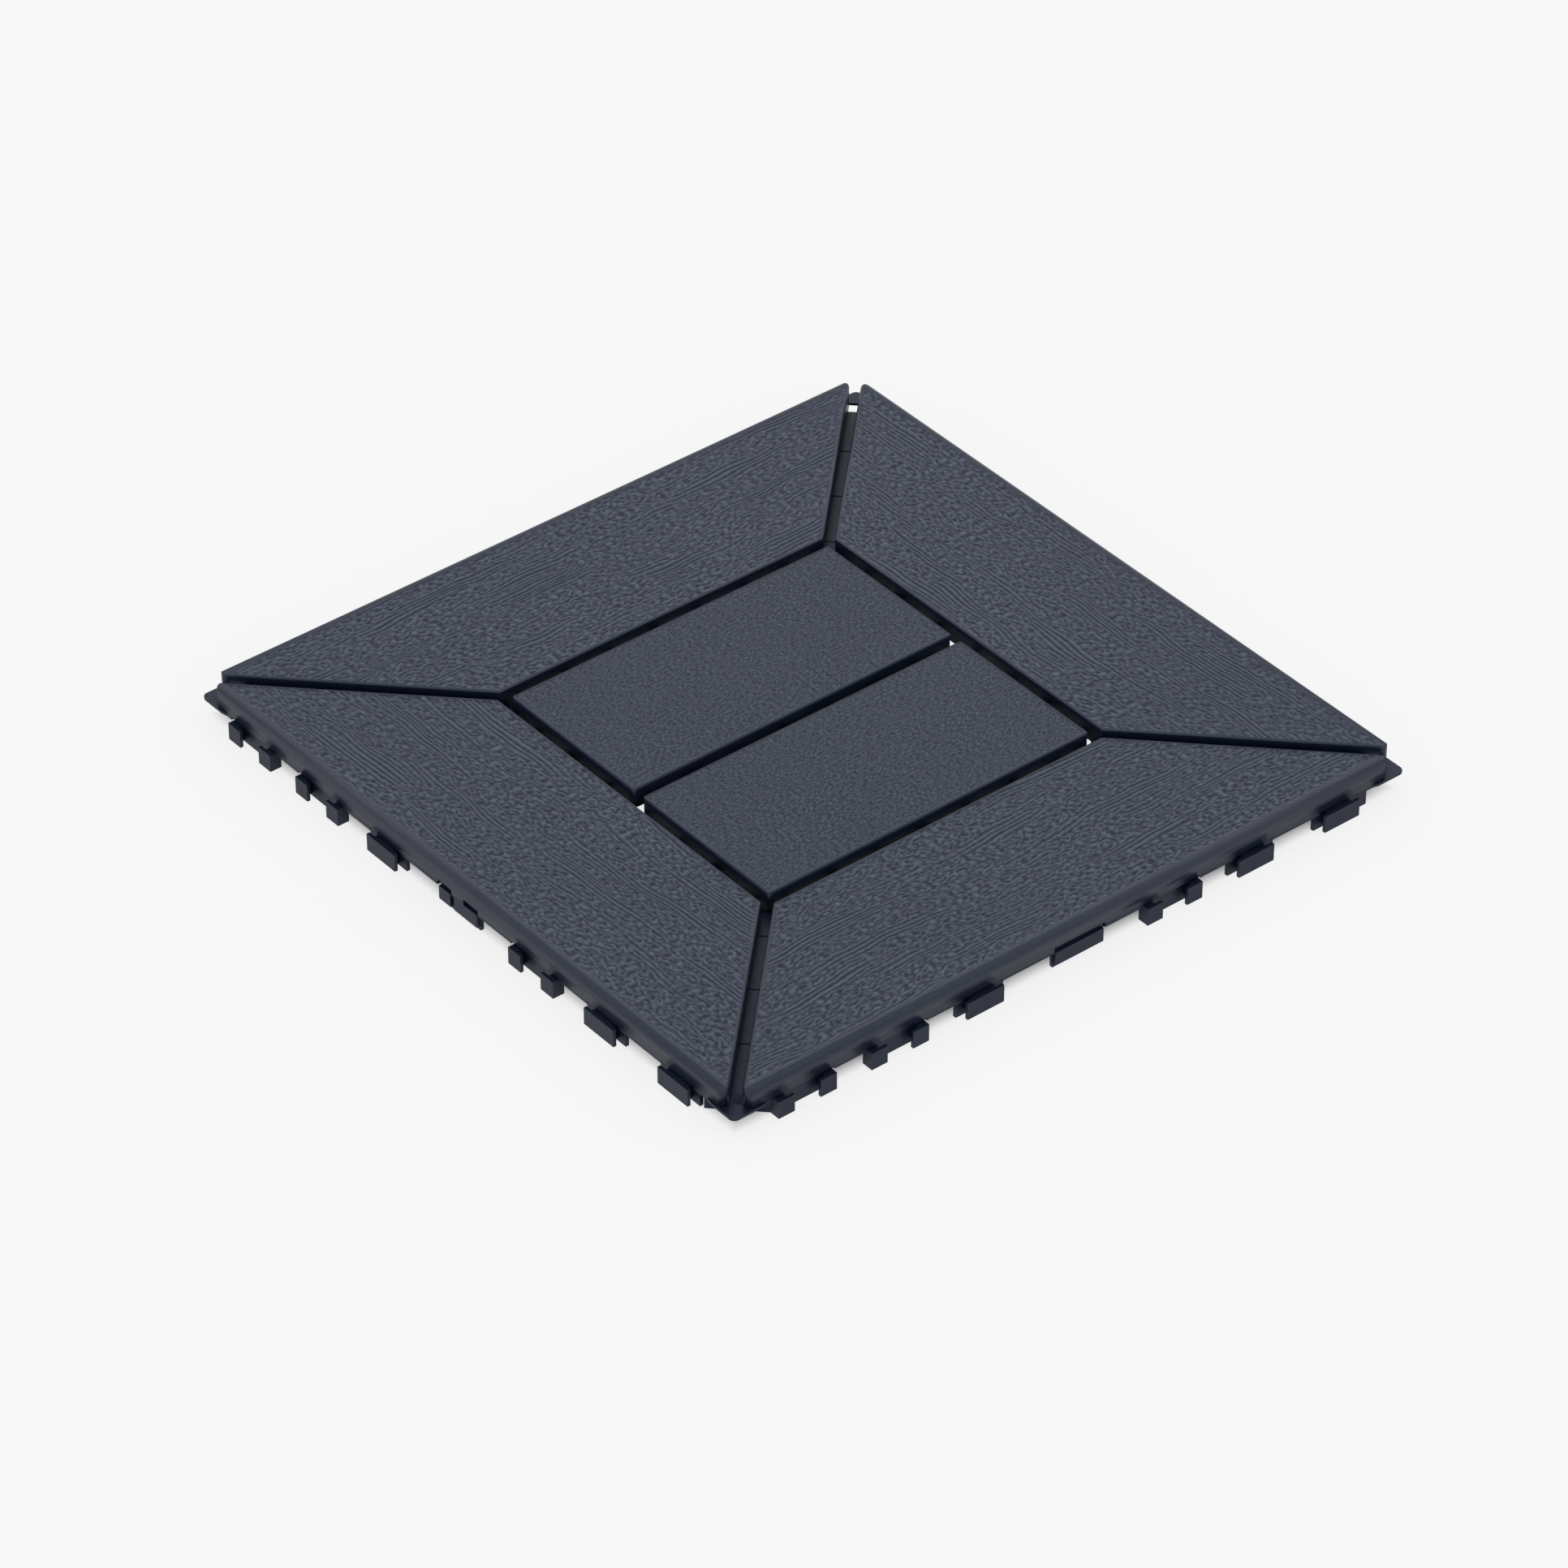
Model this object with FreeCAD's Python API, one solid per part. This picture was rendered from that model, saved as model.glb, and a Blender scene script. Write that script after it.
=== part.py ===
import FreeCAD, Part
import math
import os
from FreeCAD import Vector

# Interlocking deck tile: an open grid base that carries six hollow wood-look boards.
# Millimetres. Origin at the middle of the tile on the ground, +Z up.
# The front edge faces -Y, the right edge +X, the back edge +Y and the left edge -X.
# Along an edge, u runs with +X or +Y, and w is the distance outwards from the middle of the tile.

# Overall sizes
PITCH = 300.0              # from the middle of one tile to the middle of the next
JOINT = 1.5                # gap that two laid tiles leave between their skirts
HEIGHT = 16.0              # ground to walking surface
BOARD_DEEP = 8.0           # height of a board, skirt and top together
FLANGE_T = 1.0             # flange that the outer skirts stand on

# Boards
FRAME_BOARD_W = 72.85      # width of a frame board, from its skirt inwards
DRAIN_GAP = 4.25           # drainage gap between neighbouring boards
BOARD_TOP_T = 2.2          # thickness of a board's top
BOARD_SKIRT_T = 2.0        # thickness of a board's skirt
OUTER_ROUND = 2.2          # round-over of the outer top edges
GAP_ROUND = 0.9            # round-over of the top edges along the gaps
TIP_R = 2.6                # rounding in plan of the mitred tips
MITRE_HEEL_R = 1.5         # rounding in plan of a frame board's inner corners
INNER_CORNER_R = 2.7       # rounding in plan of an inner board's corners
BOARD_RIB_T = 1.5          # stiffening ribs under a board's top
BOARD_RIB_CLEAR = 1.2      # height of the ribs' lower edge above the base
STUD_R = 2.5               # studs under the boards
STUD_RISE = 1.5            # height of the studs' tips above the ground
STUD_CLEAR = 0.15          # all-round clearance of a stud in its eyelet

# Base grid
RIM_SET_BACK = 7.15        # rim wall behind the skirts' plane
RIM_T = 2.0                # rim wall
CORNER_CUT = 5.5           # cut of the rim's corners, along each side
GRID_CELLS = 7             # cells from the middle of the tile to the rim
MAIN_RIB_T = 1.8           # ribs that carry the boards
LOW_RIB_T = 1.4            # lower ribs between them
RIB_TALL = 5.0             # height of the ribs that carry the boards, which leave room below for water
LOW_RIB_DROP = 2.5         # height of the low ribs' upper edge below the boards
EYELET_T = 1.6             # wall of an eyelet at its thinnest
STRAP_LAP = 3.2            # how far a diagonal strap reaches under the boards beside its gap
STRAP_LINE_W = 0.6         # cross lines in the straps
STRAP_LINE_DEEP = 0.35
DRAIN_HOLE_L = 5.6         # drain hole in each strap, along the diagonal
DRAIN_HOLE_OFF = 0.9       # from the rim's cut corner out to the drain hole
CORNER_LIP = 0.65          # how far a corner plate stands out past the skirts
CORNER_LEG = 12.0          # length of a corner plate's straight legs
CORNER_TAPER = 2.8         # length over which the legs run back to the flange
CORNER_TIP_R = 2.4         # rounding of a corner plate's tip

# Hooks, sockets and stops
WALL_SET_BACK = 1.35       # connector walls behind the skirts' plane
WALL_T = 1.4               # connector walls
BAY_RIB_T = 1.8            # ribs that tie a connector wall to the rim
BAY_RIB_IN = 5.5           # from the wall's end to its rib
CORNER_WALL_IN = 0.5       # the corner walls end this far behind the connector walls' face
END_SET_IN = 29.85         # last connector's middle from the skirts' corner
FIRST_SHIFT = 2.5          # the pair beside the stop stands this much further out than even spacing
STOP_SHIFT = 1.0           # the stop's middle from the tile's middle
PLATE_T = 1.3              # front plates of hooks and sockets
HOOK_W = 16.0              # front plate of a hook
HOOK_STEM_W = 10.2         # stem of a hook
HOOK_WALL_MARGIN = 2.4     # the wall behind a hook is this much longer at each end
SOCKET_SIDE_CLEAR = 0.5    # clearance at each end of a hook's plate in a socket
SOCKET_MOUTH_CLEAR = 0.45  # clearance at each side of a hook's stem in a socket
SOCKET_WEB = 3.9           # webs that carry a socket's lips
NOTCH_CLEAR = 0.8          # flange notch past each end of a connector
STUB_L = 3.9               # free end of the wall beyond the hook at the tile's right-hand corners
STOP_W = 21.3              # stop plate
STOP_T = 2.4
STOP_RISE = 1.5            # height of the stop's lower edge above the ground
STOP_WALL_MARGIN = 0.4     # the wall behind a stop is this much longer at each end
STOP_NOTCH_H = 1.4         # height of the notch that a stop leaves in the skirt above it
STOP_NOTCH_CLEAR = 0.8
STOP_TONGUE_W = 6.7        # part of the skirt that comes down between the notches of a split stop
STOP_SLIT_W = 2.2          # slit of a split stop
STOP_SHORT_W = 6.4         # shorter plate of a split stop

# Worked out from the sizes above
HALF = (PITCH - JOINT) / 2
SEAT_Z = HEIGHT - BOARD_DEEP
FLANGE_Z = SEAT_Z - FLANGE_T
RIM_AT = HALF - RIM_SET_BACK
GRID = RIM_AT / GRID_CELLS
RIB_REACH = GRID_CELLS - 1
WALL_AT = HALF - WALL_SET_BACK
PLATE_BACK = PITCH / 2
PLATE_FRONT = PLATE_BACK + PLATE_T
SOCKET_HALF = HOOK_W / 2 + SOCKET_SIDE_CLEAR + SOCKET_WEB
SOCKET_MOUTH = HOOK_STEM_W + 2 * SOCKET_MOUTH_CLEAR
FRAME_INNER = HALF - FRAME_BOARD_W
INNER_HALF = FRAME_INNER - DRAIN_GAP
EYELET_R = STUD_R + STUD_CLEAR
CORNER_OUT = HALF + CORNER_LIP
MITRE_SHIFT = DRAIN_GAP / 2 * math.sqrt(2)
STEP = (HALF - END_SET_IN) / 3
PLACES = [-3 * STEP, -2 * STEP, -STEP - FIRST_SHIFT, STOP_SHIFT, STEP + FIRST_SHIFT, 2 * STEP, 3 * STEP]

# What stands at each place along an edge. Each hook faces a socket of the neighbouring tile.
EDGES = {
    "front": ["socket", "socket", "hook", "stop", "socket", "hook", "hook"],
    "right": ["socket", "socket", "hook", "stop", "socket", "hook", "hook"],
    "back": ["hook", "hook", "socket", "split_stop", "hook", "socket", "socket"],
    "left": ["hook", "hook", "socket", "split_stop", "hook", "socket", "socket"],
}

# A stud stands under a board where two of the base's ribs cross: columns along the board and a row
# across it, both counted in cells from the middle of the tile.
FRAME_STUDS = [(-4, 6), (0, 5), (4, 6)]
INNER_STUDS = [(-2, 2), (2, 2)]

# Ribs across the boards, in the same cells
FRAME_RIBS = [-4, -2, 0, 2, 4]
INNER_RIBS = [-3, -1, 1, 3]


def at_edge(edge, u, w):
    """Plan point of an edge's own u and w."""
    return {
        "front": Vector(u, -w, 0),
        "right": Vector(w, u, 0),
        "back": Vector(u, w, 0),
        "left": Vector(-w, u, 0),
    }[edge]


def raise_face(wire, z_low, z_high):
    """Solid over a plan outline between two heights."""
    face = Part.Face(wire)
    face.translate(Vector(0, 0, z_low))
    return face.extrude(Vector(0, 0, z_high - z_low))


def prism(points, z_low, z_high):
    """Solid over a plan polygon between two heights, with its points turned anticlockwise."""
    twice_area = sum(a.x * b.y - b.x * a.y for a, b in zip(points, points[1:] + points[:1]))
    if twice_area < 0:
        points = points[::-1]
    return raise_face(Part.makePolygon(points + points[:1]), z_low, z_high)


def edge_prism(edge, outline, z_low, z_high):
    """Solid over a polygon that is given in an edge's u and w."""
    return prism([at_edge(edge, u, w) for u, w in outline], z_low, z_high)


def edge_box(edge, u_low, u_high, w_low, w_high, z_low, z_high):
    outline = [(u_low, w_low), (u_high, w_low), (u_high, w_high), (u_low, w_high)]
    return edge_prism(edge, outline, z_low, z_high)


def rounded_wire(points, radii):
    """Closed outline through anticlockwise corner points, each rounded with its own radius."""
    edges = []
    starts = []
    ends = []
    count = len(points)
    for i in range(count):
        corner = points[i]
        before = (points[i - 1] - corner).normalize()
        after = (points[(i + 1) % count] - corner).normalize()
        half_angle = before.getAngle(after) / 2
        run = radii[i] / math.tan(half_angle)
        middle = (before + after).normalize()
        reach = radii[i] / math.sin(half_angle) - radii[i]
        starts.append(corner + before * run)
        ends.append(corner + after * run)
        edges.append(Part.Arc(starts[i], corner + middle * reach, ends[i]).toShape())
    for i in range(count):
        edges.append(Part.LineSegment(ends[i], starts[(i + 1) % count]).toShape())
    return Part.Wire(Part.__sortEdges__(edges))


def frame_board_corners(inset):
    """Front frame board in plan: a trapezoid with mitred ends, drawn in by inset on every side."""
    outer = HALF - inset
    inner = FRAME_INNER + inset
    slant = MITRE_SHIFT + inset * math.sqrt(2)
    return [
        Vector(-outer + slant, -outer, 0),
        Vector(outer - slant, -outer, 0),
        Vector(inner - slant, -inner, 0),
        Vector(-inner + slant, -inner, 0),
    ]


def inner_board_corners(inset):
    """Front inner board in plan: a rectangle between the middle gap and the frame."""
    side = INNER_HALF - inset
    near = DRAIN_GAP / 2 + inset
    return [Vector(-side, -side, 0), Vector(side, -side, 0), Vector(side, -near, 0), Vector(-side, -near, 0)]


def rounded_block(corners, radii):
    """Block over a board's plan corners: its top edges are rounded along the gaps, its corners in plan."""
    block = prism(corners, SEAT_Z, HEIGHT)
    top = [e for e in block.Edges if min(v.Z for v in e.Vertexes) > HEIGHT - GAP_ROUND]
    along_gaps = [e for e in top if max(v.Y for v in e.Vertexes) > OUTER_ROUND - HALF]
    rounded_in_plan = raise_face(rounded_wire(corners, radii), 0, 2 * HEIGHT)
    return block.makeFillet(GAP_ROUND, along_gaps).common(rounded_in_plan)


def outer_round_over():
    """What the large round-over takes off along a front board's outer top edge."""
    centre = Vector(0, OUTER_ROUND - HALF, HEIGHT - OUTER_ROUND)
    bow = OUTER_ROUND / math.sqrt(2)
    arc = Part.Arc(
        Vector(0, -HALF, centre.z),
        Vector(0, centre.y - bow, centre.z + bow),
        Vector(0, centre.y, HEIGHT),
    ).toShape()
    over = Vector(0, -HALF - OUTER_ROUND, HEIGHT + OUTER_ROUND)
    sides = [
        Vector(0, centre.y, HEIGHT),
        Vector(0, centre.y, over.z),
        over,
        Vector(0, over.y, centre.z),
        Vector(0, -HALF, centre.z),
    ]
    lines = [Part.LineSegment(a, b).toShape() for a, b in zip(sides, sides[1:])]
    face = Part.Face(Part.Wire([arc] + lines))
    face.translate(Vector(-PITCH, 0, 0))
    return face.extrude(Vector(2 * PITCH, 0, 0))


def stud(x, y):
    """Stud from under a board's top down into its eyelet."""
    return Part.makeCylinder(STUD_R, HEIGHT - BOARD_TOP_T / 2 - STUD_RISE, Vector(x, y, STUD_RISE))


def board_ribs(places, y_low, y_high):
    """Ribs across a board under its top, at the given places along it."""
    bottom = SEAT_Z + BOARD_RIB_CLEAR
    tall = HEIGHT - BOARD_TOP_T / 2 - bottom
    wide = y_high - y_low
    return [Part.makeBox(BOARD_RIB_T, wide, tall, Vector(x - BOARD_RIB_T / 2, y_low, bottom)) for x in places]


def hollow_board(block, corners_at, ribs, studs):
    """Board with its inside taken out, and ribs and studs under the top."""
    shell = block.cut(prism(corners_at(BOARD_SKIRT_T), SEAT_Z - 1, HEIGHT - BOARD_TOP_T))
    inside = Part.makeCompound(ribs).common(prism(corners_at(BOARD_SKIRT_T / 2), SEAT_Z, HEIGHT))
    return shell.multiFuse(inside.Solids + [stud(x, y) for x, y in studs]).removeSplitter()


def stop_notches(kind):
    """Ranges of u that a stop leaves open in the flange and the skirt above it."""
    middle = STOP_SHIFT
    low = middle - STOP_W / 2
    high = middle + STOP_W / 2
    if kind == "stop":
        return [(low - STOP_NOTCH_CLEAR, high + STOP_NOTCH_CLEAR)]
    tongue_high = high - STOP_SHORT_W - STOP_NOTCH_CLEAR
    tongue_low = tongue_high - STOP_TONGUE_W
    return [(low - STOP_NOTCH_CLEAR, tongue_low), (tongue_high, high + STOP_NOTCH_CLEAR)]


def frame_board(edge):
    """Frame board, made at the front and turned to its edge, with the stop's notches in its skirt."""
    quarter_turns = {"front": 0, "right": 1, "back": 2, "left": 3}[edge]
    block = rounded_block(frame_board_corners(0), [TIP_R, TIP_R, MITRE_HEEL_R, MITRE_HEEL_R])
    block = block.cut(outer_round_over())
    ribs = board_ribs([c * GRID for c in FRAME_RIBS], -HALF, -FRAME_INNER)
    studs = [(c * GRID, -row * GRID) for c, row in FRAME_STUDS]
    board = hollow_board(block, frame_board_corners, ribs, studs)
    board.rotate(Vector(0, 0, 0), Vector(0, 0, 1), 90 * quarter_turns)
    for low, high in stop_notches(EDGES[edge][3]):
        skirt_in = HALF - 1.5 * BOARD_SKIRT_T
        board = board.cut(edge_box(edge, low, high, skirt_in, CORNER_OUT, SEAT_Z - 1, SEAT_Z + STOP_NOTCH_H))
    return board


def inner_board(edge):
    """Inner board in front of or behind the middle gap."""
    ribs = board_ribs([c * GRID for c in INNER_RIBS], -INNER_HALF, 0)
    studs = [(c * GRID, -row * GRID) for c, row in INNER_STUDS]
    block = rounded_block(inner_board_corners(0), [INNER_CORNER_R] * 4)
    board = hollow_board(block, inner_board_corners, ribs, studs)
    if edge == "back":
        board.rotate(Vector(0, 0, 0), Vector(0, 0, 1), 180)
    return board


def cut_square(half, corner):
    """Plan points of a square with its corners cut at 45 degrees."""
    points = []
    for quarter in range(4):
        turn = FreeCAD.Rotation(Vector(0, 0, 1), 90 * quarter)
        points.append(turn.multVec(Vector(half, half - corner, 0)))
        points.append(turn.multVec(Vector(half - corner, half, 0)))
    return points


def rim():
    """Rim wall with cut corners, and the flange round it."""
    inner_cut = CORNER_CUT + RIM_T * (math.sqrt(2) - 2)
    outer = prism(cut_square(RIM_AT, CORNER_CUT), 0, SEAT_Z)
    inner = prism(cut_square(RIM_AT - RIM_T, inner_cut), -1, SEAT_Z + 1)
    flange = Part.makeBox(2 * HALF, 2 * HALF, FLANGE_T, Vector(-HALF, -HALF, FLANGE_Z))
    return [outer.cut(inner), flange.cut(inner)]


def grid_ribs():
    """Crossed ribs: every second one carries the boards, and the ones between are lower. So is the one
    under the middle gap, which has no board over it."""
    reach = RIM_AT - RIM_T / 2
    low = SEAT_Z - RIB_TALL
    solids = []
    for i in range(-RIB_REACH, RIB_REACH + 1):
        for lengthwise in (True, False):
            carries = i % 2 == 0 and not (lengthwise and i == 0)
            thick = MAIN_RIB_T if carries else LOW_RIB_T
            tall = RIB_TALL if carries else RIB_TALL - LOW_RIB_DROP
            place = i * GRID - thick / 2
            if lengthwise:
                solids.append(Part.makeBox(2 * reach, thick, tall, Vector(-reach, place, low)))
            else:
                solids.append(Part.makeBox(thick, 2 * reach, tall, Vector(place, -reach, low)))
    return solids


def stud_places():
    """Plan points of every stud, as the boards stand."""
    points = []
    for quarter in range(4):
        turn = FreeCAD.Rotation(Vector(0, 0, 1), 90 * quarter)
        points += [turn.multVec(Vector(c * GRID, -row * GRID, 0)) for c, row in FRAME_STUDS]
    for half_turn in range(2):
        turn = FreeCAD.Rotation(Vector(0, 0, 1), 180 * half_turn)
        points += [turn.multVec(Vector(c * GRID, -row * GRID, 0)) for c, row in INNER_STUDS]
    return points


def diagonal_strap(quarter):
    """Strap under a mitre gap, from the inner board's corner out to the corner plate."""
    half_wide = DRAIN_GAP / 2 + STRAP_LAP
    start = INNER_HALF * math.sqrt(2)
    end = (HALF - RIM_SET_BACK / 2) * math.sqrt(2)
    strap = Part.makeBox(end - start, 2 * half_wide, FLANGE_T, Vector(start, -half_wide, FLANGE_Z))
    lines = []
    for i in range(1, GRID_CELLS):
        place = i * GRID * math.sqrt(2)
        if place > start:
            corner = Vector(place - STRAP_LINE_W / 2, -half_wide, SEAT_Z - STRAP_LINE_DEEP)
            lines.append(Part.makeBox(STRAP_LINE_W, 2 * half_wide, FLANGE_T, corner))
    for solid in [strap] + lines:
        solid.rotate(Vector(0, 0, 0), Vector(0, 0, 1), 45 + 90 * quarter)
    return strap, lines


def corner_plate(quarter):
    """Corner plate, level with the flange, that stands out past the skirts with a rounded tip."""
    leg = CORNER_OUT - CORNER_LEG
    tail = leg - CORNER_TAPER
    inside = RIM_AT
    points = [
        Vector(inside, tail, 0),
        Vector(HALF, tail, 0),
        Vector(CORNER_OUT, leg, 0),
        Vector(CORNER_OUT, CORNER_OUT, 0),
        Vector(leg, CORNER_OUT, 0),
        Vector(tail, HALF, 0),
        Vector(tail, inside, 0),
    ]
    plate = prism(points, FLANGE_Z, SEAT_Z)
    tip = [e for e in plate.Edges if all(v.X > HALF and v.Y > HALF for v in e.Vertexes)]
    plate = plate.makeFillet(CORNER_TIP_R, [e for e in tip if abs(e.tangentAt(e.FirstParameter).z) > 0.9])
    plate.rotate(Vector(0, 0, 0), Vector(0, 0, 1), 90 * quarter)
    return plate


def drain_hole(quarter):
    """Drain hole through a strap, just outside the rim's cut corner."""
    start = (RIM_AT - CORNER_CUT / 2) * math.sqrt(2) + DRAIN_HOLE_OFF
    low = Vector(start, -DRAIN_GAP / 2, FLANGE_Z - 1)
    hole = Part.makeBox(DRAIN_HOLE_L, DRAIN_GAP, FLANGE_T + 2, low)
    hole.rotate(Vector(0, 0, 0), Vector(0, 0, 1), 45 + 90 * quarter)
    return hole


def bay_wall(edge, middle, half_long):
    """Connector wall, free at both ends, with two ribs that tie it to the rim."""
    top = FLANGE_Z + FLANGE_T / 2
    solids = [edge_box(edge, middle - half_long, middle + half_long, WALL_AT - WALL_T, WALL_AT, 0, top)]
    for side in (-1, 1):
        outer = middle + side * (half_long - BAY_RIB_IN)
        inner = outer - side * BAY_RIB_T
        solids.append(edge_box(edge, inner, outer, RIM_AT - RIM_T / 2, WALL_AT - WALL_T / 2, 0, top))
    return solids


def corner_wall(quarter):
    """The rim's cut corner runs on past the rim at both ends, under the corner plate."""
    out = WALL_AT - CORNER_WALL_IN
    along = 2 * RIM_AT - CORNER_CUT - out
    thick = RIM_T / math.sqrt(2)
    points = [
        Vector(out, along, 0),
        Vector(along, out, 0),
        Vector(along - thick, out - thick, 0),
        Vector(out - thick, along - thick, 0),
    ]
    wall = prism(points, 0, FLANGE_Z + FLANGE_T / 2)
    wall.rotate(Vector(0, 0, 0), Vector(0, 0, 1), 90 * quarter)
    return wall


def hook(edge, middle):
    """T-shaped hook in front of its wall."""
    stem = HOOK_STEM_W / 2
    plate = HOOK_W / 2
    root = WALL_AT - WALL_T / 2
    outline = [
        (middle - stem, root),
        (middle + stem, root),
        (middle + stem, PLATE_BACK),
        (middle + plate, PLATE_BACK),
        (middle + plate, PLATE_FRONT),
        (middle - plate, PLATE_FRONT),
        (middle - plate, PLATE_BACK),
        (middle - stem, PLATE_BACK),
    ]
    return bay_wall(edge, middle, plate + HOOK_WALL_MARGIN) + [edge_prism(edge, outline, 0, FLANGE_Z)]


def socket(edge, middle):
    """Socket: two L-shaped tabs in front of the wall, with a mouth between their lips."""
    root = WALL_AT - WALL_T / 2
    solids = bay_wall(edge, middle, SOCKET_HALF)
    for side in (-1, 1):
        outline = [
            (middle + side * SOCKET_HALF, root),
            (middle + side * SOCKET_HALF, PLATE_FRONT),
            (middle + side * SOCKET_MOUTH / 2, PLATE_FRONT),
            (middle + side * SOCKET_MOUTH / 2, PLATE_BACK),
            (middle + side * (SOCKET_HALF - SOCKET_WEB), PLATE_BACK),
            (middle + side * (SOCKET_HALF - SOCKET_WEB), root),
        ]
        solids.append(edge_prism(edge, outline, 0, FLANGE_Z))
    return solids


def stop(edge, middle):
    """Plain stop plate, flush with the skirt."""
    low = middle - STOP_W / 2
    high = middle + STOP_W / 2
    plate = edge_box(edge, low, high, HALF - STOP_T, HALF, STOP_RISE, FLANGE_Z)
    return bay_wall(edge, middle, STOP_W / 2 + STOP_WALL_MARGIN) + [plate]


def split_stop(edge, middle):
    """Stop of two plates with a slit between them."""
    low = middle - STOP_W / 2
    high = middle + STOP_W / 2
    slit_high = high - STOP_SHORT_W
    long_plate = edge_box(edge, low, slit_high - STOP_SLIT_W, HALF - STOP_T, HALF, STOP_RISE, FLANGE_Z)
    short_plate = edge_box(edge, slit_high, high, HALF - STOP_T, HALF, STOP_RISE, FLANGE_Z)
    return bay_wall(edge, middle, STOP_W / 2 + STOP_WALL_MARGIN) + [long_plate, short_plate]


def connector_notches(edge):
    """What the flange leaves open above each connector, back to the connector walls."""
    half_long = {"hook": HOOK_W / 2, "socket": SOCKET_HALF}
    ranges = []
    for kind, middle in zip(EDGES[edge], PLACES):
        if kind in half_long:
            reach = half_long[kind] + NOTCH_CLEAR
            ranges.append((middle - reach, middle + reach))
        else:
            ranges += stop_notches(kind)
    return [edge_box(edge, a, b, WALL_AT, CORNER_OUT + 1, FLANGE_Z, SEAT_Z + 1) for a, b in ranges]


def wall_stub(edge):
    """Free end of the wall beyond the last hook, where an edge ends in one."""
    start = PLACES[-1] + HOOK_W / 2
    end = start + HOOK_WALL_MARGIN + STUB_L
    return edge_box(edge, start, end, WALL_AT - WALL_T, WALL_AT, 0, FLANGE_Z + FLANGE_T / 2)


def base_grid():
    """The whole base as one moulding."""
    makers = {"hook": hook, "socket": socket, "stop": stop, "split_stop": split_stop}
    plates = rim()
    lines = []
    for quarter in range(4):
        strap, strap_lines = diagonal_strap(quarter)
        plates += [strap, corner_plate(quarter)]
        lines += strap_lines
    connectors = [corner_wall(quarter) for quarter in range(4)]
    notches = []
    for edge, kinds in EDGES.items():
        for kind, middle in zip(kinds, PLACES):
            connectors += makers[kind](edge, middle)
        notches += connector_notches(edge)
        if kinds[-1] == "hook":
            connectors.append(wall_stub(edge))
    side = 2 * (EYELET_R + EYELET_T)
    bosses = [Part.makeBox(side, side, SEAT_Z, p - Vector(side / 2, side / 2, 0)) for p in stud_places()]
    bores = [Part.makeCylinder(EYELET_R, SEAT_Z + 2, p - Vector(0, 0, 1)) for p in stud_places()]
    holes = [drain_hole(quarter) for quarter in range(4)]
    body = plates[0].multiFuse(plates[1:] + grid_ribs() + bosses)
    body = body.cut(Part.makeCompound(notches + lines + holes + bores))
    return body.multiFuse(connectors).removeSplitter()


def save(name, shape):
    """Write a piece, which is one solid, and say how it came out."""
    print(name, len(shape.Solids), "solid", round(shape.Volume / 1000, 1), "cm3", shape.isValid())
    shape.Solids[0].exportStep("parts/" + name + ".step")


os.makedirs("parts", exist_ok=True)
save("base_grid", base_grid())
for edge_name in EDGES:
    save("frame_board_" + edge_name, frame_board(edge_name))
for edge_name in ("front", "back"):
    save("inner_board_" + edge_name, inner_board(edge_name))
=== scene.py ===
import math

import bmesh
import bpy
import numpy as np
from mathutils import Matrix, Vector


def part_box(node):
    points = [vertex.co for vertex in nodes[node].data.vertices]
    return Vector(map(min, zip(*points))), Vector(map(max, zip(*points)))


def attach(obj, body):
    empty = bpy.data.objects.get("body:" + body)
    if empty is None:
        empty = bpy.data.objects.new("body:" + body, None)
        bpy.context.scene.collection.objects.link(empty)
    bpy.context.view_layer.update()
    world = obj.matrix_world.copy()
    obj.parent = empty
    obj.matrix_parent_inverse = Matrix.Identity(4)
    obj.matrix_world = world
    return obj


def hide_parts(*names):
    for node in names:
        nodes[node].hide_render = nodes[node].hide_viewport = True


# Looks of the interlocking deck tile, in metres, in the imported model's frame.
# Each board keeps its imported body, and its flat top gives way to a top of pressed wood grain.
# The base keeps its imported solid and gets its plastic.

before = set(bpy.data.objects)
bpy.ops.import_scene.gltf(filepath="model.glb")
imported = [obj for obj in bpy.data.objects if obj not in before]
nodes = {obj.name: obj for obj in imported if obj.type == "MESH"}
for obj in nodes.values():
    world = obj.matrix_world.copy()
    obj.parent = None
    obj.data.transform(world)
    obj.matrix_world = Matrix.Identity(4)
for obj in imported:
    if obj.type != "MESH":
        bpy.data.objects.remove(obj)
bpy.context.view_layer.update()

MM = 0.001

# The camera stands at the photograph's viewing angle, far off with a long lens
CAMERA_PLACE = Vector((-1.3189, -1.6185, 1.5913))
CAMERA_HEADING = math.radians(39.03)    # from +Y towards +X
CAMERA_DIP = math.radians(37.57)        # below level
CAMERA_ROLL = math.radians(-0.05)
CAMERA_NEAR = 0.1
CAMERA_FAR = 50
LENS_MM = 171.67
SENSOR_MM = 36.0

# Light and floor
SKY_LEVEL = 1.0
FLOOR_HALF = 4.0
FLOOR_TONE = (0.942, 0.942, 0.942)
FLOOR_UNEVEN = 0.99         # darkest part of the floor, as a share of its tone
FLOOR_CLOUDS = 0.8          # noise cells to the metre
FLOOR_GLOW = 0.85           # share of the floor's plain tone where a camera or a reflection sees it
MIRRORED_FLOOR = 0.72       # the plain tone in reflections, as a share of it
DARK_REACH = 0.93           # under the tile the plain tone is off out to here, ...
OPEN_REACH = 0.98           # ... and whole from here on, as shares of the base's half width
# Three spots under the tile where the floor keeps its plain tone: painted light in the tile's
# shadow, at the ends of its gaps
PAINTED_LIGHT_SPOTS = [(81.4 * MM, 13.9 * MM), (-63.0 * MM, 8.0 * MM), (82.6 * MM, -59.4 * MM)]
PAINTED_LIGHT_RADIUS = 3.0 * MM
PAINTED_LIGHT_FADE = 1.4              # the spots end at this many radii

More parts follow.
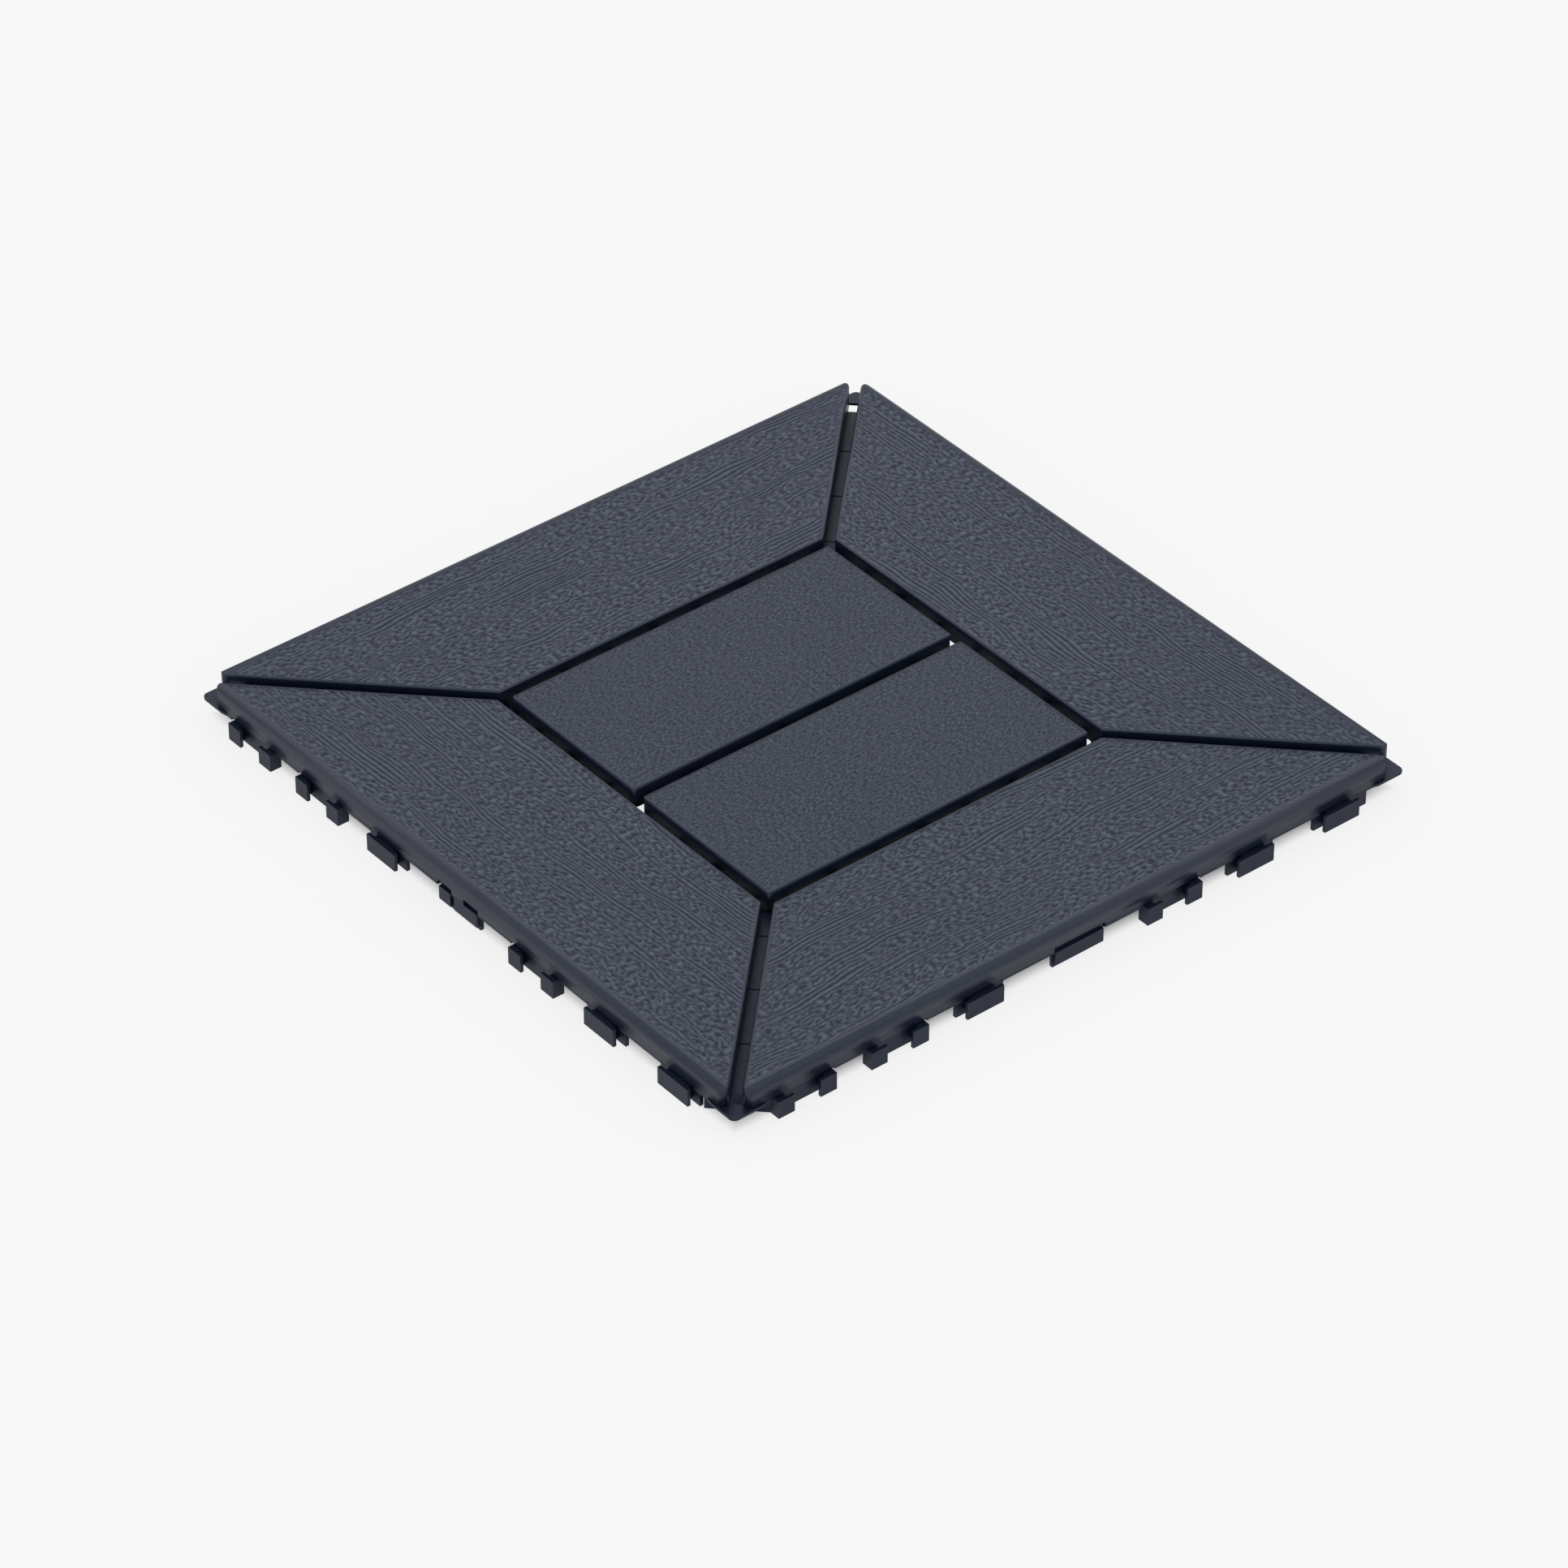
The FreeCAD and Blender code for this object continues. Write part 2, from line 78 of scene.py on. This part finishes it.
# Sizes of the boards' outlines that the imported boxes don't give
OUTER_ROUND = 2.2 * MM
GAP_ROUND = 0.9 * MM
TIP_R = 2.6 * MM
TIP_ANGLE = math.radians(45)
DRAIN_GAP = 4.25 * MM

# Grid of a grained top
ROW_STEP = 0.42 * MM
COLUMN_STEP = 0.52 * MM
GAP_FADE = 0.8 * MM         # over which the grain fades out towards the gaps
BORDER_DROP = 0.02 * MM     # the grid's border dips this far into the board's body ...
BORDER_LAP = 0.05 * MM      # ... and reaches this far past its edge
SAME_PLACE = 1e-6
TOP_DEPTH = 1e-5            # faces this near the level of the top belong to it
LEVEL_NORMAL = 0.999        # if they look up
SMOOTH_ANGLE = math.radians(32)

# Pressed grain. Cell is the ridges' size in millimetres, lines the share of lines in the bands
FRAME_GRAIN = {"relief": 0.50 * MM, "outer_fade": 3.0 * MM, "seed": 100, "cell": 1.25, "lines": 1.0}
INNER_GRAIN = {"relief": 0.17 * MM, "outer_fade": GAP_FADE, "seed": 300, "cell": 0.82, "lines": 0.3}
SEED_STEP = 20              # from one board to the next
PLAIN_GRAIN = 0.30          # stands for smooth plastic where there is no grain
# Each row: height or shift, then the noise's cell along and across the board, in millimetres
WANDER_SLOW = (3.5, 70, 45)
WANDER_QUICK = (1.0, 17, 13)
STROKE_PHASE = (2.5, 30, 4)
BAND = (1.9, 48, 7)
BAND_LIFT = 0.05
BAND_CALM = 0.65            # how far the ridges die down in a band
# Each row: height or shift, then the noise's steps to a cell of the ridges, along and across
RIDGE_MAIN = (1.2, 0.60, 1.3)
RIDGE_FINE = (0.25, 1.8, 1.9)
PUSH_CELL = 3.1
PUSH_ALONG = 0.45
PUSH_ACROSS = 0.55
STROKE_HEIGHT = 0.75
STROKE_SPACING = 1.7
CONTRAST = 1.1
CREST_SHARE = 0.32          # how far hollows are broader than crests

# Plastics: tones, sheen at right angles to the surface, shine and roughness from least to most
BOARD_TONE = (0.007, 0.013, 0.033)
# The board's tone runs from the first share in the grain's hollows to the second on its crests:
# painted shade in the hollows, a painted highlight on the crests
BOARD_PAINTED_SHADE_AND_HIGHLIGHT = (0.6, 1.5)
BOARD_SHEEN = (0.80, 0.87, 1.0, 1)
BOARD_IOR = 1.58
BOARD_CLOUDS = 0.03         # noise cells to the millimetre
BOARD_CLOUD_RANGE = (0.90, 1.10)
BOARD_ROUGH = (0.34, 0.42)
BOARD_BUMP = (0.3, 0.06 * MM)
PORES = 1.3                 # noise cells to the millimetre, before the stretch
PORES_ALONG_X = (0.5, 1.2, 1)
PORES_ALONG_Y = (1.2, 0.5, 1)
PORE_HEIGHT = 0.16
# Shine in the grain's hollows and on its crests: less shine in the hollows is painted shade, more
# on the crests is a painted highlight
HOLLOW_PAINTED_SHADE = 0.16
FRAME_CREST_PAINTED_HIGHLIGHT = 1.0
INNER_CREST_PAINTED_HIGHLIGHT = 0.82
SHINE_FROM = 0.07           # heights between which the shine rises
SHINE_TO = 0.92
BASE_TONE = (0.006, 0.010, 0.024)
BASE_TONE_RANGE = (0.8, 1.2)
BASE_SHEEN = (0.72, 0.80, 1.0, 1)
BASE_IOR = 1.5
BASE_CLOUDS = 0.05
BASE_SHINE = (0.36, 0.47)
BASE_ROUGH = (0.32, 0.44)
BASE_BUMP = (0.25, 0.05 * MM)
SKIN = 2.6


def lattice_noise(x, y, seed):
    """Smooth noise in about -1 to 1: each unit square's corners hold random slopes, and the
    heights of the four slopes are blended with a quintic curve."""
    size = 256
    angles = np.random.default_rng(seed).uniform(0, 2 * math.pi, (size, size))
    xi = np.floor(x).astype(int)
    yi = np.floor(y).astype(int)
    fx = x - xi
    fy = y - yi

    def corner(dx, dy):
        angle = angles[(xi + dx) % size, (yi + dy) % size]
        return np.cos(angle) * (fx - dx) + np.sin(angle) * (fy - dy)

    blend_x = fx ** 3 * (fx * (fx * 6 - 15) + 10)
    blend_y = fy ** 3 * (fy * (fy * 6 - 15) + 10)
    low = corner(0, 0) * (1 - blend_x) + corner(1, 0) * blend_x
    high = corner(0, 1) * (1 - blend_x) + corner(1, 1) * blend_x
    return (low * (1 - blend_y) + high * blend_y) * 1.5


def cell_noise(along, across, row, seed):
    """Noise in cells of the row's size, times the row's height."""
    height, cell_along, cell_across = row
    return height * lattice_noise(along / cell_along, across / cell_across, seed)


def step_noise(a, c, row, seed):
    """Noise with the row's steps to a ridge cell, times the row's height."""
    height, steps_along, steps_across = row
    return height * lattice_noise(steps_along * a, steps_across * c, seed)


def wood_grain(along, across, seed, cell, lines):
    """Height from 0 to 1 of pressed wood grain, in millimetres along and across the board.

    The grain's lines wander: across is shifted by two slow noises. Most of the board carries short
    crooked ridges, which are the crests of noise whose place is pushed about by slower noise. In
    long bands they give way to lines along the board, a sine of the place across whose phase
    wanders. A hyperbolic tangent rounds the sum off, and its product with a rising line makes the
    hollows broader than the crests."""
    line = across + cell_noise(along, across, WANDER_SLOW, seed)
    line = line + cell_noise(along, across, WANDER_QUICK, seed + 1)
    push = (PUSH_ALONG, PUSH_CELL, PUSH_CELL)
    a = along / cell + cell_noise(along, line, push, seed + 2)
    push = (PUSH_ACROSS, PUSH_CELL, PUSH_CELL)
    c = line / cell + cell_noise(along, line, push, seed + 3)
    ridges = step_noise(a, c, RIDGE_MAIN, seed + 4) + step_noise(a, c, RIDGE_FINE, seed + 5)
    phase = cell_noise(along, line, STROKE_PHASE, seed + 6)
    strokes = STROKE_HEIGHT * np.sin(line * 2 * math.pi / STROKE_SPACING + phase)
    bands = lines * np.clip(cell_noise(along, line, BAND, seed + 7) + BAND_LIFT, 0, 1)
    height = np.tanh(CONTRAST * (ridges * (1 - BAND_CALM * bands) + strokes * bands))
    return 0.5 * (height + 1) * (1 - CREST_SHARE + CREST_SHARE * height)


def smooth_step(value):
    value = np.clip(value, 0, 1)
    return value * value * (3 - 2 * value)


def mitred_half_width(y, outer):
    """Half width of a front frame board's flat top at y: straight mitres, and a circle at each
    tip."""
    shift = DRAIN_GAP / 2 * math.sqrt(2)
    straight = -y - shift - GAP_ROUND * math.sqrt(2)
    tip_y = -outer + TIP_R
    tip_x = outer - shift - TIP_R / math.tan(TIP_ANGLE / 2)
    arc = tip_x + np.sqrt(np.maximum(TIP_R ** 2 - (y - tip_y) ** 2, 0))
    return np.where(y < tip_y + TIP_R * math.sqrt(0.5), np.minimum(straight, arc), straight)


def grain_top(half_width, y_low, y_high, level, quarter, grain):
    """Grid over a board's flat top, at the front: rows run along the board at even steps across
    it, and each row's points are spread evenly between its two ends. The height is the top's level
    minus the grain's depth, and the grain fades out towards the edges. Returns points, quads and
    the grain's height from 0 to 1."""
    rows = int((y_high - y_low) / ROW_STEP)
    columns = int(2 * float(half_width(np.array([y_low + TIP_R])).max()) / COLUMN_STEP)
    y_line = np.linspace(y_low, y_high, rows)
    share = np.linspace(-1, 1, columns)
    half_line = half_width(y_line)
    x = half_line[:, None] * share[None, :]
    y = np.repeat(y_line[:, None], columns, axis=1)
    seed = grain["seed"] + SEED_STEP * quarter
    height = wood_grain(x / MM, y / MM, seed, grain["cell"], grain["lines"])

    from_outer = (y - y_low) / grain["outer_fade"]
    from_inner = (y_high - y) / GAP_FADE
    from_ends = (half_line[:, None] - np.abs(x)) / GAP_FADE
    fade = smooth_step(from_outer) * smooth_step(from_inner) * smooth_step(from_ends)
    at_outer = from_outer <= 0
    at_inner = from_inner <= 0
    at_ends = from_ends <= SAME_PLACE
    border = at_outer | at_inner | at_ends
    z = np.where(border, level - BORDER_DROP, level - grain["relief"] * (1 - height) * fade)
    x = np.where(at_ends, x + np.sign(x) * BORDER_LAP, x)
    y = np.where(at_outer, y - BORDER_LAP, np.where(at_inner, y + BORDER_LAP, y))
    points = np.stack([x, y, z], axis=-1).reshape(-1, 3)

    index = np.arange(rows * columns).reshape(rows, columns)
    corners = [index[:-1, :-1], index[:-1, 1:], index[1:, 1:], index[1:, :-1]]
    quads = np.stack(corners, axis=-1).reshape(-1, 4)
    shade = np.where(border, PLAIN_GRAIN, PLAIN_GRAIN + (height - PLAIN_GRAIN) * fade)
    return points, quads, shade.reshape(-1)


def turned(points, quarter_turns):
    """Points turned about Z by quarter turns, from the front edge to the board's own."""
    cos, sin = [(1, 0), (0, 1), (-1, 0), (0, -1)][quarter_turns]
    x, y, z = points.T
    return np.stack([cos * x - sin * y, sin * x + cos * y, z], axis=-1)


def body_without_top(node, level):
    """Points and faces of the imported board, merged and without the flat faces of its top."""
    shape = bmesh.new()
    shape.from_mesh(nodes[node].data)
    bmesh.ops.remove_doubles(shape, verts=shape.verts, dist=SAME_PLACE)
    top = [
        face for face in shape.faces
        if face.normal.z > LEVEL_NORMAL and min(v.co.z for v in face.verts) > level - TOP_DEPTH
    ]
    bmesh.ops.delete(shape, geom=top, context="FACES")
    body = bpy.data.meshes.new(node + "_body")
    shape.to_mesh(body)
    shape.free()
    points = np.empty(len(body.vertices) * 3)
    body.vertices.foreach_get("co", points)
    faces = [tuple(face.vertices) for face in body.polygons]
    bpy.data.meshes.remove(body)
    return points.reshape(-1, 3), faces


def grained_board(name, node, quarter_turns, top, plastic):
    """Board that stands for a packed one: its body, closed by a top of pressed grain."""
    body_points, body_faces = body_without_top(node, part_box(node)[1].z)
    points, quads, shade = top
    count = len(body_points)
    points = np.vstack([body_points, turned(points, quarter_turns)])
    shade = np.concatenate([np.full(count, PLAIN_GRAIN), shade])
    mesh = bpy.data.meshes.new(name)
    mesh.from_pydata(points.tolist(), [], body_faces + (quads + count).tolist())
    # The grain's height, which the board plastics turn into painted shade in the hollows and a
    # painted highlight on the crests
    relief = mesh.attributes.new("grain", "FLOAT", "POINT")
    relief.data.foreach_set("value", shade.astype(np.float32))
    mesh.polygons.foreach_set("use_smooth", np.ones(len(mesh.polygons), bool))
    mesh.update()
    mesh.materials.append(plastic)
    board = bpy.data.objects.new(name, mesh)
    bpy.context.scene.collection.objects.link(board)
    with bpy.context.temp_override(object=board, active_object=board, selected_objects=[board]):
        bpy.ops.object.shade_smooth_by_angle(angle=SMOOTH_ANGLE)
    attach(board, "root")
    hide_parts(node)


class Paint:
    """A new material, with short calls that add its nodes and give their sockets."""

    def __init__(self, name):
        self.material = bpy.data.materials.new(name)
        self.material.use_nodes = True
        self.tree = self.material.node_tree
        self.tree.nodes.clear()
        self.link = self.tree.links.new

    def add(self, kind, **values):
        """New node with the values of its inputs or settings."""
        node = self.tree.nodes.new(kind)
        for key, value in values.items():
            if key in node.inputs:
                node.inputs[key].default_value = value
            else:
                setattr(node, key, value)
        return node

    def place(self):
        """Object coordinates in metres."""
        return self.add("ShaderNodeTexCoord").outputs["Object"]

    def millimetres(self, stretch=(1, 1, 1)):
        """Object coordinates in millimetres, stretched along the axes."""
        mapping = self.add("ShaderNodeMapping", Scale=[s / MM for s in stretch])
        self.link(self.place(), mapping.inputs["Vector"])
        return mapping.outputs["Vector"]

    def noise(self, place, scale, detail=2.0, roughness=0.6):
        """Cloudy noise at the place."""
        noise = self.add("ShaderNodeTexNoise", Scale=scale, Detail=detail, Roughness=roughness)
        self.link(place, noise.inputs["Vector"])
        return noise.outputs["Fac"]

    def maths(self, operation, first, second):
        """Result of the operation on two sockets."""
        node = self.add("ShaderNodeMath", operation=operation)
        self.link(first, node.inputs[0])
        self.link(second, node.inputs[1])
        return node.outputs[0]

    def ramp(self, source, low, high, from_low=0.0, from_high=1.0):
        """Value that runs from low to high as the source does between two levels."""
        ramp = self.add("ShaderNodeMapRange")
        ramp.inputs["From Min"].default_value = from_low
        ramp.inputs["From Max"].default_value = from_high
        ramp.inputs["To Min"].default_value = low
        ramp.inputs["To Max"].default_value = high
        self.link(source, ramp.inputs["Value"])
        return ramp.outputs["Result"]

    def tint(self, source, tone, low, high, start=0.25, end=0.75):
        """Colour that runs from low to high times the tone as the source goes from start to
        end."""
        ramp = self.add("ShaderNodeValToRGB")
        first, last = ramp.color_ramp.elements
        first.position, last.position = start, end
        first.color = [low * part for part in tone] + [1]
        last.color = [high * part for part in tone] + [1]
        self.link(source, ramp.inputs["Fac"])
        return ramp.outputs["Color"]

    def plastic(self, colour, shine, skin, rough, bump, ior, sheen):
        """Plastic with a fine skin that varies its roughness and its surface. Gives the
        material."""
        strength, distance = bump
        skin_bump = self.add("ShaderNodeBump", Strength=strength, Distance=distance)
        self.link(skin, skin_bump.inputs["Height"])
        plastic = self.add("ShaderNodeBsdfPrincipled", IOR=ior)
        plastic.inputs["Specular Tint"].default_value = sheen
        self.link(colour, plastic.inputs["Base Color"])
        self.link(shine, plastic.inputs["Specular IOR Level"])
        self.link(self.ramp(skin, *rough), plastic.inputs["Roughness"])
        self.link(skin_bump.outputs["Normal"], plastic.inputs["Normal"])
        return self.finish(plastic.outputs["BSDF"])

    def finish(self, shader):
        """Puts the shader on the surface and gives the material."""
        self.link(shader, self.add("ShaderNodeOutputMaterial").inputs["Surface"])
        return self.material


def board_plastic(name, stretch, crest_painted_highlight):
    """Moulded board plastic, nearly black under a bluish sheen. The grain's crests get a painted
    highlight and its hollows painted shade, through more or less shine and a lighter or darker
    tone; slow clouds vary the sheen, and fine pores along the board break it up."""
    paint = Paint(name)
    grain = paint.add("ShaderNodeAttribute", attribute_name="grain").outputs["Fac"]
    clouds = paint.noise(paint.millimetres(), BOARD_CLOUDS, detail=3.0)
    pores = paint.noise(paint.millimetres(stretch), PORES)
    height = paint.add("ShaderNodeMath", operation="MULTIPLY_ADD")
    height.inputs[1].default_value = PORE_HEIGHT
    paint.link(pores, height.inputs[0])
    paint.link(grain, height.inputs[2])
    height = height.outputs[0]
    # Less shine in the grain's hollows is painted shade, more on its crests is a painted highlight
    shine = paint.ramp(height, HOLLOW_PAINTED_SHADE, crest_painted_highlight, SHINE_FROM, SHINE_TO)
    shine = paint.maths("MULTIPLY", shine, paint.ramp(clouds, *BOARD_CLOUD_RANGE))
    # Darker tone in the hollows and lighter on the crests: painted shade and painted highlight
    colour = paint.tint(height, BOARD_TONE, *BOARD_PAINTED_SHADE_AND_HIGHLIGHT)
    return paint.plastic(colour, shine, pores, BOARD_ROUGH, BOARD_BUMP, BOARD_IOR, BOARD_SHEEN)


def base_plastic():
    """Base plastic: plain dark moulding with a slightly uneven tone and a fine spark-eroded
    skin."""
    paint = Paint("base_plastic")
    position = paint.millimetres()
    clouds = paint.noise(position, BASE_CLOUDS, detail=3.0)
    skin = paint.noise(position, SKIN)
    colour = paint.tint(clouds, BASE_TONE, *BASE_TONE_RANGE)
    shine = paint.ramp(clouds, *BASE_SHINE)
    return paint.plastic(colour, shine, skin, BASE_ROUGH, BASE_BUMP, BASE_IOR, BASE_SHEEN)


def open_floor_and_painted_spots(paint, place):
    """Value that is 0 on the floor under the tile and 1 around it. It is also 1 at the three spots
    where the photograph shows the pale ground through the ends of the tile's gaps."""
    # At the three spots the value makes the floor under the tile glow with its plain tone: painted
    # light in the tile's shadow
    size = paint.add("ShaderNodeVectorMath", operation="ABSOLUTE")
    paint.link(place, size.inputs[0])
    parts = paint.add("ShaderNodeSeparateXYZ")
    paint.link(size.outputs["Vector"], parts.inputs[0])
    reach = paint.maths("MAXIMUM", parts.outputs["X"], parts.outputs["Y"])
    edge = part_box("base_grid")[1].x
    open_and_painted_glow = paint.ramp(reach, 0, 1, DARK_REACH * edge, OPEN_REACH * edge)
    for x, y in PAINTED_LIGHT_SPOTS:
        away = paint.add("ShaderNodeVectorMath", operation="DISTANCE")
        away.inputs[1].default_value = (x, y, 0)
        paint.link(place, away.inputs[0])
        painted_spot = paint.ramp(away.outputs["Value"], 1, 0, PAINTED_LIGHT_RADIUS, PAINTED_LIGHT_FADE * PAINTED_LIGHT_RADIUS)
        open_and_painted_glow = paint.maths("MAXIMUM", open_and_painted_glow, painted_spot)
    return open_and_painted_glow


def floor_paint():
    """Pale matt floor with a very slight unevenness. Where the camera or a reflection sees it,
    most of it keeps its plain tone, so that the tile's shadow is faint. In reflections that tone
    is dimmer, as the photograph's skirts show. Under the tile the floor is only lit."""
    paint = Paint("floor_paint")
    place = paint.place()
    clouds = paint.noise(place, FLOOR_CLOUDS, roughness=0.5)
    colour = paint.tint(clouds, FLOOR_TONE, FLOOR_UNEVEN, 1.0, start=0.0, end=1.0)
    matt = paint.add("ShaderNodeBsdfDiffuse")
    paint.link(colour, matt.inputs["Color"])
    path = paint.add("ShaderNodeLightPath").outputs
    plain = paint.add("ShaderNodeEmission")
    paint.link(colour, plain.inputs["Color"])
    paint.link(paint.ramp(path["Is Glossy Ray"], 1.0, MIRRORED_FLOOR), plain.inputs["Strength"])
    seen = paint.maths("MAXIMUM", path["Is Camera Ray"], path["Is Glossy Ray"])
    seen = paint.maths("MAXIMUM", seen, path["Is Transmission Ray"])
    # Under the tile the plain tone is off, save at three spots where it stays on as painted light
    share = paint.maths("MULTIPLY", seen, paint.ramp(open_floor_and_painted_spots(paint, place), 0, FLOOR_GLOW))
    mix = paint.add("ShaderNodeMixShader")
    paint.link(share, mix.inputs["Fac"])
    paint.link(matt.outputs["BSDF"], mix.inputs[1])
    paint.link(plain.outputs["Emission"], mix.inputs[2])
    return paint.finish(mix.outputs["Shader"])


def make_boards():
    """The four frame boards and the two inner boards."""
    frame_low, frame_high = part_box("frame_board_front")
    outer = -frame_low.y
    inner = -frame_high.y
    level = frame_high.z
    inner_low, inner_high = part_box("inner_board_front")
    side = -inner_low.y - GAP_ROUND
    near = -inner_high.y + GAP_ROUND
    lengthwise = board_plastic("board_plastic_x", PORES_ALONG_X, FRAME_CREST_PAINTED_HIGHLIGHT)
    crosswise = board_plastic("board_plastic_y", PORES_ALONG_Y, FRAME_CREST_PAINTED_HIGHLIGHT)
    smoother = board_plastic("board_plastic_fine", PORES_ALONG_X, INNER_CREST_PAINTED_HIGHLIGHT)

    def frame_half_width(y):
        return mitred_half_width(y, outer)

    def inner_half_width(y):
        return np.full_like(y, side)

    for quarter, edge in enumerate(["front", "right", "back", "left"]):
        y_low, y_high = -outer + OUTER_ROUND, -inner - GAP_ROUND
        top = grain_top(frame_half_width, y_low, y_high, level, quarter, FRAME_GRAIN)
        plastic = crosswise if quarter % 2 else lengthwise
        grained_board("board_" + edge, "frame_board_" + edge, quarter, top, plastic)
    for quarter, edge in [(0, "front"), (2, "back")]:
        top = grain_top(inner_half_width, -side, -near, level, quarter, INNER_GRAIN)
        grained_board("middle_board_" + edge, "inner_board_" + edge, quarter, top, smoother)


def finish_base():
    """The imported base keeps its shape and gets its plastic."""
    materials = nodes["base_grid"].data.materials
    materials.clear()
    materials.append(base_plastic())


def make_floor():
    """Wide level floor at the height that the tile stands on."""
    mesh = bpy.data.meshes.new("floor")
    edge = FLOOR_HALF
    corners = [(-edge, -edge, 0), (edge, -edge, 0), (edge, edge, 0), (-edge, edge, 0)]
    mesh.from_pydata(corners, [], [(0, 1, 2, 3)])
    mesh.materials.append(floor_paint())
    floor = bpy.data.objects.new("floor", mesh)
    bpy.context.scene.collection.objects.link(floor)


def make_light():
    """Even white surroundings, as in a light tent."""
    world = bpy.data.worlds.new("studio")
    world.use_nodes = True
    background = world.node_tree.nodes["Background"]
    background.inputs["Color"].default_value = (1, 1, 1, 1)
    background.inputs["Strength"].default_value = SKY_LEVEL
    bpy.context.scene.world = world


def make_camera():
    """Camera at the photograph's place, heading and lens."""
    data = bpy.data.cameras.new("camera")
    data.lens = LENS_MM
    data.sensor_width = SENSOR_MM
    data.clip_start = CAMERA_NEAR
    data.clip_end = CAMERA_FAR
    camera = bpy.data.objects.new("camera", data)
    level = math.cos(CAMERA_DIP)
    ahead_x = math.sin(CAMERA_HEADING) * level
    ahead_y = math.cos(CAMERA_HEADING) * level
    ahead = Vector((ahead_x, ahead_y, -math.sin(CAMERA_DIP)))
    turn = ahead.to_track_quat("-Z", "Y").to_matrix() @ Matrix.Rotation(CAMERA_ROLL, 3, "Z")
    camera.matrix_world = Matrix.Translation(CAMERA_PLACE) @ turn.to_4x4()
    bpy.context.scene.collection.objects.link(camera)
    bpy.context.scene.camera = camera


make_boards()
finish_base()
make_floor()
make_light()
make_camera()
bpy.context.scene.view_settings.view_transform = "Standard"
